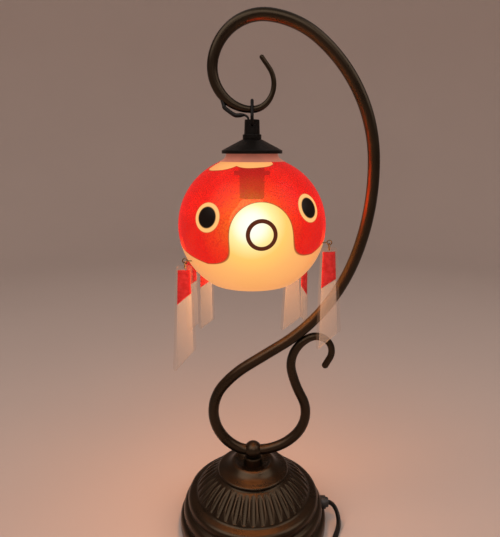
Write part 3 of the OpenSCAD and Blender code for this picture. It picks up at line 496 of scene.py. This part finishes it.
knuckle_z, knuckle_reach, arm_d = 84, 2, 10.5
arm_line = walk([[0, 3], [22, -28.8], [45.4, -101.6], [109.1, -16.5], [0, 36.2], [168.3, 38], [223, 23.1],
                 [135.9, 47.1], [80.4, 32]], -knuckle_reach, knuckle_z, 180, 2.5)
arm = round_bar("arm_tube_bent", arm_line, [arm_d] * len(arm_line))
arm.data.materials.append(bronze)
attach(arm, "stand")
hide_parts("arm_tube")


# Hook: the end of the arm drawn out to a taper, curled down to where the shade hangs and round to a thin
# upturned tip. It has the base's dark bronze.
def run_lengths(points):
    """Length along a walk up to each of its points."""
    out = [0.0]
    for p, q in zip(points, points[1:]):
        out.append(out[-1] + math.dist(p[:2], q[:2]))
    return out


def look_up(x, table):
    """Value at x on straight lines between the table's (x, value) pairs."""
    for (x0, y0), (x1, y1) in zip(table, table[1:]):
        if x <= x1:
            return y0 + (y1 - y0) * max(0, x - x0) / (x1 - x0)
    return table[-1][1]


def round_end(point, d):
    """Points and diameters that round off the end of a bar."""
    x, z, h = point
    angles = [15, 30, 45, 60, 72, 82, 87]
    return ([[x + math.cos(math.radians(h)) * d / 2 * math.sin(math.radians(a)),
              z + math.sin(math.radians(h)) * d / 2 * math.sin(math.radians(a)), h] for a in angles],
            [d * math.cos(math.radians(a)) for a in angles])


rod_d, hook_tip_d = 6, 3.8
hook_in = walk([[42.5, 83.5], [33.3, 47.9], [33, 55.3]], *arm_line[-1], 2)
hook_line = hook_in + walk([[17.2, 51.5], [22, 75], [0, 10]], *hook_in[-1], 1.5)[1:]
hook_run = run_lengths(hook_line)
hang, end = hook_run[len(hook_in) - 1], hook_run[-1]
hook_taper = [(0, arm_d), (0.2 * hang, 10.13), (0.58 * hang, 9.03), (0.75 * hang, 8.715),
              (0.88 * hang, 7.36), (hang - 3, rod_d), (hang + 3, rod_d), (hang + 0.4 * (end - hang), 4.44),
              (end, hook_tip_d)]
tip_points, tip_sizes = round_end(hook_line[-1], hook_tip_d)
hook = round_bar("arm_hook_drawn", hook_line + tip_points,
                 [look_up(s, hook_taper) for s in hook_run] + tip_sizes)
hook.data.materials.append(bronze)
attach(hook, "stand")
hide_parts("arm_hook")


# Scroll bar: a bent rod that springs from the knuckle's right side, leans on the arm and curls over to a
# rounded tip. It thins towards the tip and has the base's dark bronze.
scroll_d, scroll_tip_d = 10, 6.5
scroll_line = walk([[0, 3], [50.2, 48.1], [37, 69.6], [119.7, -13.9], [31.1, -73.9], [15.4, -148.8],
                    [0, 7.8]], knuckle_reach, knuckle_z, 0, 2)
scroll_run = run_lengths(scroll_line)
full = scroll_run[-1]
scroll_taper = [(0, scroll_d), (0.2 * full, scroll_d), (0.55 * full, 9.3), (0.75 * full, 8.2),
                (0.88 * full, scroll_tip_d), (full, scroll_tip_d)]
tip_points, tip_sizes = round_end(scroll_line[-1], scroll_tip_d)
scroll = round_bar("scroll_bar_bent", scroll_line + tip_points,
                   [look_up(s, scroll_taper) for s in scroll_run] + tip_sizes)
scroll.data.materials.append(bronze)
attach(scroll, "stand")
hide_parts("scroll_bar")


# Lead to the lamp: the length hidden in the arm, and the short twin lead that leaves the hook's side and
# droops into the top of the stem. It is the cord's own plastic, stripped slimmer where it enters the stem.
dress(sheath, "arm_lead")
slim_core, more_core, slim_points, slim_steps = 0.9, 0.8, 19, 6
lead_path = smooth_points([[x, 0, z] for x, z in [
    (-26.8, 418.58), (-25.371, 414.848), (-24.941, 413.728), (-24.51, 412.608), (-18.946, 408.455),
    (-15.146, 406.555), (-11.146, 406.655), (-7.546, 406.655), (-4.85, 404.755), (-4.45, 401.855),
    (-4.45, 399.055)]], 6)
across = Vector((0, 1, 0))
rings = []
for i, p in enumerate(lead_path):
    before, after = lead_path[max(i - 1, 0)], lead_path[min(i + 1, len(lead_path) - 1)]
    thin = (Vector(after) - Vector(before)).normalized().cross(across)
    leaving = min(1, 0.5 + i / 20)
    entering = min(1, max(0, (len(lead_path) - slim_points - i) / slim_steps))
    core = slim_core + more_core * leaving * entering
    rings.append([(Vector(p) + across * u + thin * v) / 1000 for u, v in twin_outline(core)])
lead = loft("head_lead_twin", rings)
lead.data.materials.append(sheath)
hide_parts("head_lead")
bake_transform(lead)


# Blackened steel hanger: a pear-shaped link of bent wire whose ends meet inside the stem, then the stem,
# its collar and a conical cap that holds the neck of the globe by three grub screws.
f = Finish("black_metal")
place = f.place()
fine = f.noise(place, scale=500, detail=3)
f.set(Base_Color=f.mix(f.noise(place, scale=40), (0.003, 0.0022, 0.0018), (0.007, 0.0055, 0.0045)),
      Specular_IOR_Level=0.12, Roughness=f.step(fine, 0.25, 0.75, 0.32, 0.46),
      Normal=f.bump(fine, distance=0.00004, strength=0.6))
black_metal = f.material
hang_x = -1.346
wire_d, wire_sides, half_w, corner_r, gap = 2.8, 24, 8.7, 1.8, 0.2
pin_z, nose_z, nose_r, shoulder_z, shoulder_r, lean = 398.955, 416.355, 2.2, 404.614, 4, 30
slope = math.radians(lean)
side_low = (half_w - shoulder_r + shoulder_r * math.cos(slope), shoulder_z + shoulder_r * math.sin(slope))
side_high = (nose_r * math.cos(slope), nose_z + nose_r * math.sin(slope))
half = [[0, half_w - corner_r - gap / 2], [corner_r, 90], [0, shoulder_z - pin_z - corner_r],
        [shoulder_r, lean], [0, math.dist(side_low, side_high)]]
link_line = walk(half + [[nose_r, 180 - 2 * lean]] + half[::-1], gap / 2, pin_z, 0, 0.5)
rings = []
for y, z, h in link_line:
    s, c = math.sin(math.radians(h)) * wire_d / 2, math.cos(math.radians(h)) * wire_d / 2
    rings.append([((hang_x + wire_d / 2 * math.sin(a)) / 1000, (y - s * math.cos(a)) / 1000,
                   (z + c * math.cos(a)) / 1000)
                  for a in (2 * math.pi * k / wire_sides for k in range(wire_sides))])
link = loft("hanger_link_bent", [ring[::-1] for ring in rings])
link.data.materials.append(black_metal)
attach(link, "link")
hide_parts("hanger_link")
dress(black_metal, "stem", "stem_collar", "shade_cap", "cap_screws")
for name in ("stem", "stem_collar", "shade_cap"):
    soften(name, 0.0004)


# Lampholder in dark phenolic with brass contacts, seen as a shadow through the red glass, and a warm lit
# bulb of opal glass. The plug's blades and the fins' eyes and rings are the same tarnished brass.
f = Finish("holder_phenolic")
haze = f.noise(f.place(), scale=120)
f.set(Base_Color=f.mix(haze, (0.012, 0.006, 0.004), (0.024, 0.011, 0.007)), Roughness=0.5)
dress(f.material, "holder_cap", "holder_body", "holder_ring")
f = Finish("brass_wire")
tarnish = f.noise(f.place(), scale=240, detail=3)
f.set(Base_Color=f.mix(tarnish, (0.16, 0.10, 0.05), (0.32, 0.22, 0.11)), Metallic=1.0,
      Roughness=f.step(tarnish, 0.3, 0.7, 0.28, 0.45))
dress(f.material, "screw_shell", "centre_contact", "plug_blades", *["fin_eye_%d" % k for k in range(1, 7)],
      *["fin_ring_%d" % k for k in range(1, 7)])
f = Finish("opal_glass")
glow = f.noise(f.place(), scale=30, detail=2)
f.set(Base_Color=(0.9, 0.85, 0.75, 1), Roughness=0.3, Emission_Strength=1.6,
      Emission_Color=f.mix(glow, (1, 0.72, 0.4), (1, 0.78, 0.48)))
dress(f.material, "bulb_glass")


# Glass goldfish: a blown globe with a flat underside and a short clear neck. Its outside is fused with
# speckled red frit above and cream below, with a ring for the mouth, two ringed eyes and cream scallops at
# the neck, and the bulb's light is painted on it as a glow. The inside is clear above and carries a painted
# red glow below, which stands in for the lit glass seen from within.
globe_x, globe_z = hang_x / 1000, 0.312584
ball_r, ball_out, ball_top, soft_r, floor_drop, wall = 0.060, 0.0054, 66.5, 0.005, 0.046, 0.0024


def globe_line(inset, neck):
    """Half outline of the glass: flat floor, soft corner, round side, then the neck's points."""
    corner = (ball_out + math.sqrt((ball_r - soft_r) ** 2 - floor_drop ** 2), globe_z - floor_drop)
    turn = math.degrees(math.atan2(-floor_drop, corner[0] - ball_out))
    ball, soft = ball_r - inset, soft_r - inset
    line = [(r, corner[1] - soft) for r in (0.0, 0.012, 0.024)]
    line += [(corner[0] + soft * math.cos(a), corner[1] + soft * math.sin(a))
             for a in (math.radians(-90 + (turn + 90) * k / 6) for k in range(6))]
    line += [(ball_out + ball * math.cos(a), globe_z + ball * math.sin(a))
             for a in (math.radians(turn + 1.4 * k) for k in range(100)) if a < math.radians(ball_top)]
    return line + neck


outer = globe_line(0, [(0.0272, 0.36915), (0.0253, 0.37015), (0.0239, 0.37125), (0.0229, 0.3728),
                       (0.0224, 0.3745), (0.0223, 0.3767)])
inner = globe_line(wall, [(0.0249, 0.3667), (0.0229, 0.3678), (0.0213, 0.3693), (0.0204, 0.3715),
                          (0.02, 0.374), (0.0199, 0.3767)])
globe = lathe("globe_blown", outer + inner[::-1], 192, globe_x)

# The fish's own directions, and places on it in degrees about the globe's middle.
f = Finish("fish_glass")
p = f.vector("SUBTRACT", f.place(), (globe_x, 0, globe_z))
to_right = Vector((0.9906, 0.1154, 0.0732))
to_face = Vector((0.1131, -0.993, 0.0349))
to_top = Vector((-0.0767, 0.0263, 0.9967))
in_degrees = 57.296
side, ahead, above = (f.vector("DOT_PRODUCT", p, tuple(v)) for v in (to_right, to_face, to_top))
size = f.vector("LENGTH", p)
level = f.math("SQRT", f.math("ADD", f.math("POWER", side, 2.0), f.math("POWER", ahead, 2.0)))
turn = f.math("MULTIPLY", f.math("ARCTAN2", side, ahead), in_degrees)
rise = f.math("MULTIPLY", f.math("ARCTAN2", above, level), in_degrees)


def away(azimuth, elevation):
    """Degrees from a place on the fish."""
    a, e = math.radians(azimuth), math.radians(elevation)
    aim = (to_right * math.sin(a) + to_face * math.cos(a)) * math.cos(e) + to_top * math.sin(e)
    cosine = f.math("DIVIDE", f.vector("DOT_PRODUCT", p, tuple(aim)), size)
    return f.math("MULTIPLY", f.math("ARCCOSINE", cosine), in_degrees)


# Cream: a round muzzle and a belly line that rises over the cheeks, melted together where they meet.
muzzle_r, belly_low = 22.6, 20.0
cheek_from, cheek_slope, cheek_top, cheek_round = 45.0, 0.27, 14.0, 8.0
melt_reach, melt_depth = 24.0, 6.0
mouth = away(0, 0)
muzzle = f.math("SUBTRACT", mouth, muzzle_r)
cheek = f.math("MAXIMUM", f.math("SUBTRACT", f.math("ABSOLUTE", turn), cheek_from), 0.0)
cheek = f.math("SMOOTH_MIN", f.math("MULTIPLY", cheek, cheek_slope), cheek_top, cheek_round)
belly = f.math("SUBTRACT", rise, f.math("SUBTRACT", cheek, belly_low))
apart = f.math("ABSOLUTE", f.math("SUBTRACT", muzzle, belly))
near = f.math("DIVIDE", f.math("MAXIMUM", f.math("SUBTRACT", melt_reach, apart), 0.0), melt_reach)
melt = f.math("MULTIPLY", f.math("POWER", near, 2.0), melt_depth)
cream = f.math("SUBTRACT", f.math("MINIMUM", muzzle, belly), melt)

# Scallops: cream arcs at the front of the neck, pushed out of sight round its sides and back.
scallop_w, scallop_turn, scallop_low, scallop_tip = 55.0, 241.4, 53.0, 36.0
front_turn, front_in, front_out, out_of_sight = 20.0, 52.0, 56.0, 40.0
share = f.math("FRACT", f.math("DIVIDE", f.math("ADD", turn, scallop_turn), scallop_w))
share = f.math("ABSOLUTE", f.math("SUBTRACT", share, 0.5))
scallop = f.math("MULTIPLY_ADD", f.math("POWER", share, 3.0), scallop_tip, scallop_low)
scallop = f.math("SUBTRACT", scallop, rise)
bare = f.step(f.math("ABSOLUTE", f.math("ADD", turn, front_turn)), front_in, front_out)
scallop = f.math("ADD", scallop, f.math("MULTIPLY", bare, out_of_sight))

# Where each colour lies: frit, its dark edge, eyes with pupils and rims, and the ring of the mouth.
eye_r, mouth_r = 10.6, 9.45
edge = f.math("MINIMUM", cream, scallop)
is_red = f.step(edge, -0.12, 0.12)
line = f.step(f.math("ABSOLUTE", edge), 0.2, 0.6, 1.0, 0.0)
eye = f.math("MINIMUM", away(-39.7, 13.9), away(41.5, 14.2))
is_eye = f.step(eye, eye_r - 0.2, eye_r + 0.2, 1.0, 0.0)
pupil = f.step(eye, 7.0, 8.2, 1.0, 0.0)
eye_line = f.step(f.math("ABSOLUTE", f.math("SUBTRACT", eye, eye_r)), 0.15, 0.6, 1.0, 0.0)
ring = f.step(f.math("ABSOLUTE", f.math("SUBTRACT", mouth, mouth_r)), 1.3, 1.6, 1.0, 0.0)

# Colours: painted light. The bulb's glow is painted on the cream and the red glass as emission, brightest
# at a fixed spot a little above the mouth and fading away from it.
from_glow_spot = f.math("DIVIDE", away(-6.5, 7.0), 90.0)
grit = f.noise(p, scale=620, detail=2, roughness=0.6)
patch = f.noise(p, scale=55, detail=3)
cream_light = f.ramp(from_glow_spot, [(0, (1.0, 1.0, 0.95)), (0.09, (1.0, 1.0, 0.80)), (0.165, (1.0, 0.84, 0.36)),
                            (0.27, (1.0, 0.60, 0.15)), (0.42, (0.98, 0.48, 0.145)),
                            (0.62, (0.91, 0.40, 0.13)), (0.8, (0.78, 0.32, 0.10))])
red_light = f.ramp(from_glow_spot, [(0.2, (1.0, 0.22, 0.03)), (0.3, (0.97, 0.095, 0.026)), (0.44, (0.83, 0.03, 0.02)),
                          (0.6, (0.70, 0.028, 0.022)), (0.8, (0.66, 0.026, 0.026))])
red_light = f.mix(f.step(grit, 0.44, 0.62, 0.0, 0.6), red_light, (0.50, 0.013, 0.011))
red_light = f.mix(f.step(patch, 0.45, 0.75, 0.0, 0.3), red_light, (0.98, 0.05, 0.02))
colour = f.mix(is_red, cream_light, red_light)
colour = f.mix(f.math("MULTIPLY", line, 0.75), colour, (0.28, 0.05, 0.012))
colour = f.mix(is_eye, colour, (1.0, 0.52, 0.18))
colour = f.mix(f.math("MULTIPLY", eye_line, 0.6), colour, (0.45, 0.12, 0.03))
colour = f.mix(pupil, colour, (0.006, 0.003, 0.002))
colour = f.mix(ring, colour, (0.085, 0.018, 0.007))
neck_from, neck_to, shadow_from, shadow_to = 0.0555, 0.0562, 0.056, 0.064
height = f.vector("DOT_PRODUCT", p, (0.0, 0.0, 1.0))
neck = f.step(height, neck_from, neck_to)
neck_colour = f.mix(f.step(height, shadow_from, shadow_to), (0.42, 0.15, 0.10), (0.24, 0.07, 0.045))
colour = f.mix(neck, colour, neck_colour)
f.set(Base_Color=f.mix(0.65, colour, (0.0, 0.0, 0.0)), Roughness=0.3, Specular_IOR_Level=0.15,
      Emission_Color=colour, Emission_Strength=0.86,
      Normal=f.bump(f.noise(p, scale=14, detail=2), distance=0.0006, strength=0.25))
solid = f.math("MAXIMUM", f.math("MAXIMUM", is_eye, line), f.math("SUBTRACT", 1.0, is_red))
through = f.math("MULTIPLY", f.math("SUBTRACT", 1.0, solid), f.step(grit, 0.4, 0.62, 0.56, 0.36))
through = f.math("MULTIPLY", through, f.math("SUBTRACT", 1.0, neck))
through = f.math("ADD", through, f.math("MULTIPLY", neck, 0.12))
clear = f.shader("ShaderNodeBsdfTransparent", f.mix(neck, (1.0, 0.13, 0.07), (1.0, 0.9, 0.86)))
f.links.new(f.blend(through, f.bsdf.outputs[0], clear), f.out.inputs[0])
globe.data.materials.append(f.material)

# Lining: a painted red glow inside the lower half, which stands in for the lit glass seen from within; it
# fades out a little above the globe's middle.
f = Finish("glass_inner_glow")
from_middle = f.vector("SUBTRACT", f.place(), (globe_x, 0, globe_z))
height = f.vector("DOT_PRODUCT", from_middle, (0.0, 0.0, 1.0))
inner_glow_share = f.step(height, 0.004, 0.016, 0.9, 0.05)
glow = f.mix(f.noise(f.place(), scale=60), (0.80, 0.02, 0.012), (0.90, 0.035, 0.02))
f.set(Base_Color=(0.05, 0.01, 0.008, 1), Roughness=0.6, Specular_IOR_Level=0.1, Emission_Color=glow,
      Emission_Strength=0.75)
clear = f.shader("ShaderNodeBsdfTransparent", (0.99, 0.97, 0.96, 1))
f.links.new(f.blend(inner_glow_share, clear, f.bsdf.outputs[0]), f.out.inputs[0])
globe.data.materials.append(f.material)
outline_faces = len(outer) + len(inner) - 1
is_inside = [int(i % outline_faces >= len(outer) - 1) for i in range(len(globe.data.polygons))]
globe.data.polygons.foreach_set("material_index", is_inside)
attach(globe, "shade")
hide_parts("globe", "globe_floor")


# Fins: laminated sheets hung by jump rings from wire eyes on the globe. Each has a red printed top, a milky
# lower part and a clear margin of film, is punched for its ring, and hangs with a slight bow.
sheet_top, sheet_t, hole_z, hole_r = -3.7, 0.0004, -7.2, 1.1
corner, bevel = 2.5, 0.7
row_h, row_count, column_at = 2.5, 39, (-8, -4, 0, 4, 8)
bow_long, bow_wide = 90, 11
film_milk = (0.52, 0.56, 0.58)


def fin_material(name, border_in, border_out):
    """Film with a red print that ends on a slanted border, at shares of the way down its two sides."""
    f = Finish(name)
    uv = f.nodes.new("ShaderNodeSeparateXYZ")
    f.put(uv.inputs[0], f.nodes.new("ShaderNodeTexCoord").outputs["UV"])
    across, down = uv.outputs[0], uv.outputs[1]
    fibre = f.noise(f.place(), scale=260, detail=4)
    border = f.math("ADD", f.math("MULTIPLY", across, border_out - border_in), border_in)
    margin = f.math("MINIMUM", across, f.math("SUBTRACT", 1.0, across))
    printed = f.math("MULTIPLY", f.step(margin, 0.12, 0.13), f.step(down, 0.047, 0.052))
    red = f.math("MULTIPLY", f.step(f.math("SUBTRACT", border, down), 0.0, 0.006), printed)
    ink = f.mix(f.step(fibre, 0.35, 0.65), (0.42, 0.03, 0.032), (0.68, 0.08, 0.085))
    f.set(Base_Color=f.mix(red, film_milk, ink), Roughness=0.22, Specular_IOR_Level=0.4,
          Normal=f.bump(fibre, distance=0.00006, strength=0.5))
    milk = f.shader("ShaderNodeBsdfTranslucent", f.mix(red, film_milk, (0.6, 0.06, 0.065)))
    clear = f.shader("ShaderNodeBsdfTransparent", (0.97, 0.95, 0.94, 1))
    film = f.math("ADD", f.math("MULTIPLY", printed, 0.3), 0.045)
    opaque = f.math("MAXIMUM", f.math("MULTIPLY", red, 0.95), film)
    f.links.new(f.blend(opaque, clear, f.blend(0.5, f.bsdf.outputs[0], milk)), f.out.inputs[0])
    return f.material


def fin_sheet(top_in, top_out, foot_in, foot_out, long_in, long_out):
    """Flat sheet below its eye, with a round hole, cut into rows and columns so that it can bow."""
    outline = [(top_in, sheet_top - corner), (top_in + bevel, sheet_top - bevel),
               (top_in + corner, sheet_top), (top_out - corner, sheet_top),
               (top_out - bevel, sheet_top - bevel), (top_out, sheet_top - corner),
               (foot_out, corner - long_out), (foot_out - bevel, bevel - long_out),
               (foot_out - corner, -long_out), (foot_in + corner, -long_in),
               (foot_in + bevel, bevel - long_in), (foot_in, corner - long_in)]
    hole = [(hole_r * math.cos(a), hole_z + hole_r * math.sin(a))
            for a in (math.radians(15 * i) for i in range(24))]
    bm = bmesh.new()
    edges = []
    for loop in (outline, hole):
        corners = [bm.verts.new((x, 0, z)) for x, z in loop]
        edges += [bm.edges.new((a, b)) for a, b in zip(corners, corners[1:] + corners[:1])]
    bmesh.ops.triangle_fill(bm, use_beauty=True, use_dissolve=False, edges=edges)
    cuts = [((0, 0, sheet_top - row_h * i), (0, 0, 1)) for i in range(1, row_count + 1)]
    cuts += [((x, 0, 0), (1, 0, 0)) for x in column_at]
    for point, normal in cuts:
        everything = bm.verts[:] + bm.edges[:] + bm.faces[:]
        bmesh.ops.bisect_plane(bm, geom=everything, plane_co=point, plane_no=normal)
    bmesh.ops.recalc_face_normals(bm, faces=bm.faces)
    sheet_uv = bm.loops.layers.uv.new("sheet")
    for face in bm.faces:
        for loop in face.loops:
            x, _, z = loop.vert.co
            u = (x - foot_in) / (foot_out - foot_in)
            v = (sheet_top - z) / (sheet_top + long_in + (long_out - long_in) * min(1, max(0, u)))
            low, high = top_in + (foot_in - top_in) * v, top_out + (foot_out - top_out) * v
            loop[sheet_uv].uv = ((x - low) / (high - low), v)
    return bm


def hang_fin(name, eye_at, yaw, sizes, borders, curl):
    """One fin, bowed by curl, turned by yaw and hung below its eye; millimetres from the globe's middle."""
    bm = fin_sheet(*sizes)
    spin = Matrix.Rotation(math.radians(yaw), 4, "Z")
    for vert in bm.verts:
        x, _, z = vert.co
        drop = (sheet_top - z) / bow_long
        bow = curl * (drop * drop * 1.6 - 0.35 * drop + (x / bow_wide) ** 2 * min(1, drop * 4) * 0.5)
        spot = spin @ Vector((x, bow, z)) + Vector(eye_at)
        vert.co = (spot.x / 1000 + globe_x, spot.y / 1000, spot.z / 1000 + globe_z)
    data = bpy.data.meshes.new(name + "_film")
    bm.to_mesh(data)
    bm.free()
    data.shade_smooth()
    data.materials.append(fin_material(name + "_film", *borders))
    fin = add_object(name + "_film", data)
    thick = fin.modifiers.new("thick", "SOLIDIFY")
    thick.thickness = sheet_t
    thick.offset = 0
    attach(fin, name)
    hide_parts(name)


hang_fin("fin_1", (-56.85, -31, -25.6), 180, (-6, 8, -7.6, 13.5, 82, 101), (0.30, 0.40), 0.8)
hang_fin("fin_2", (-45.5, 38, -37.6), 165, (-7, 8, -8, 10, 66, 77), (0.30, 0.42), -0.6)
hang_fin("fin_3", (-58.5, 30, -32.6), 160, (-6, 8, -7, 9, 72, 82), (0.32, 0.42), -0.8)
hang_fin("fin_4", (66.3, -22, -11.6), 0, (-7.2, 7, -8.6, 13.2, 98, 82), (0.42, 0.34), -0.6)
hang_fin("fin_5", (41.5, 46, -36.6), 20, (-8, 8.5, -13, 13, 80, 68), (0.4, 0.3), -0.7)
hang_fin("fin_6", (52.5, 38, -32.6), 50, (-7, 7, -7, 8, 66, 78), (0.46, 0.60), -0.6)


# Soft studio light: a pale warm room, one panel overhead to the left and weaker ones to the right and in
# front. The lit globe throws a little warm light on the stand and the table, so it casts no shadow, and a
# second light of its size gives the bronze alone its orange glint.
def globe_light(name, power, radius, height):
    """Warm light inside the globe."""
    lamp = bpy.data.lights.new(name, "POINT")
    lamp.energy = power
    lamp.color = (1.0, 0.38, 0.12)
    lamp.shadow_soft_size = radius
    light = add_object(name, lamp)
    light.location = (globe_x, 0, height)
    return light


world = bpy.data.worlds.new("room")
world.use_nodes = True
world.node_tree.nodes["Background"].inputs["Color"].default_value = (0.36, 0.315, 0.29, 1)
world.node_tree.nodes["Background"].inputs["Strength"].default_value = 1.0
bpy.context.scene.world = world
panel_aim = Vector((0, 0, 0.25))
for name, spot, size, power in (("panel_left", (-0.9, -0.7, 1.5), 1.3, 11),
                                ("panel_right", (1.0, -0.3, 1.2), 1.0, 5),
                                ("panel_front", (0.15, -1.25, 1.35), 1.0, 6)):
    lamp = bpy.data.lights.new(name, "AREA")
    lamp.size = size
    lamp.energy = power
    lamp.color = (1.0, 0.93, 0.88)
    panel = add_object(name, lamp)
    panel.location = spot
    panel.rotation_euler = (panel_aim - Vector(spot)).to_track_quat("-Z", "Y").to_euler()
globe_light("lamp_glow", 1.9, 0.03, 0.278)
glint = globe_light("lamp_glint", 5.5, 0.055, globe_z)
glint.visible_diffuse = False
bronze_pieces = bpy.data.collections.new("bronze_pieces")
for piece in (base, arm, hook, scroll, NODE["base_cap"], NODE["post"], NODE["knuckle"]):
    bronze_pieces.objects.link(piece)
glint.light_linking.receiver_collection = bronze_pieces
globe.visible_shadow = False
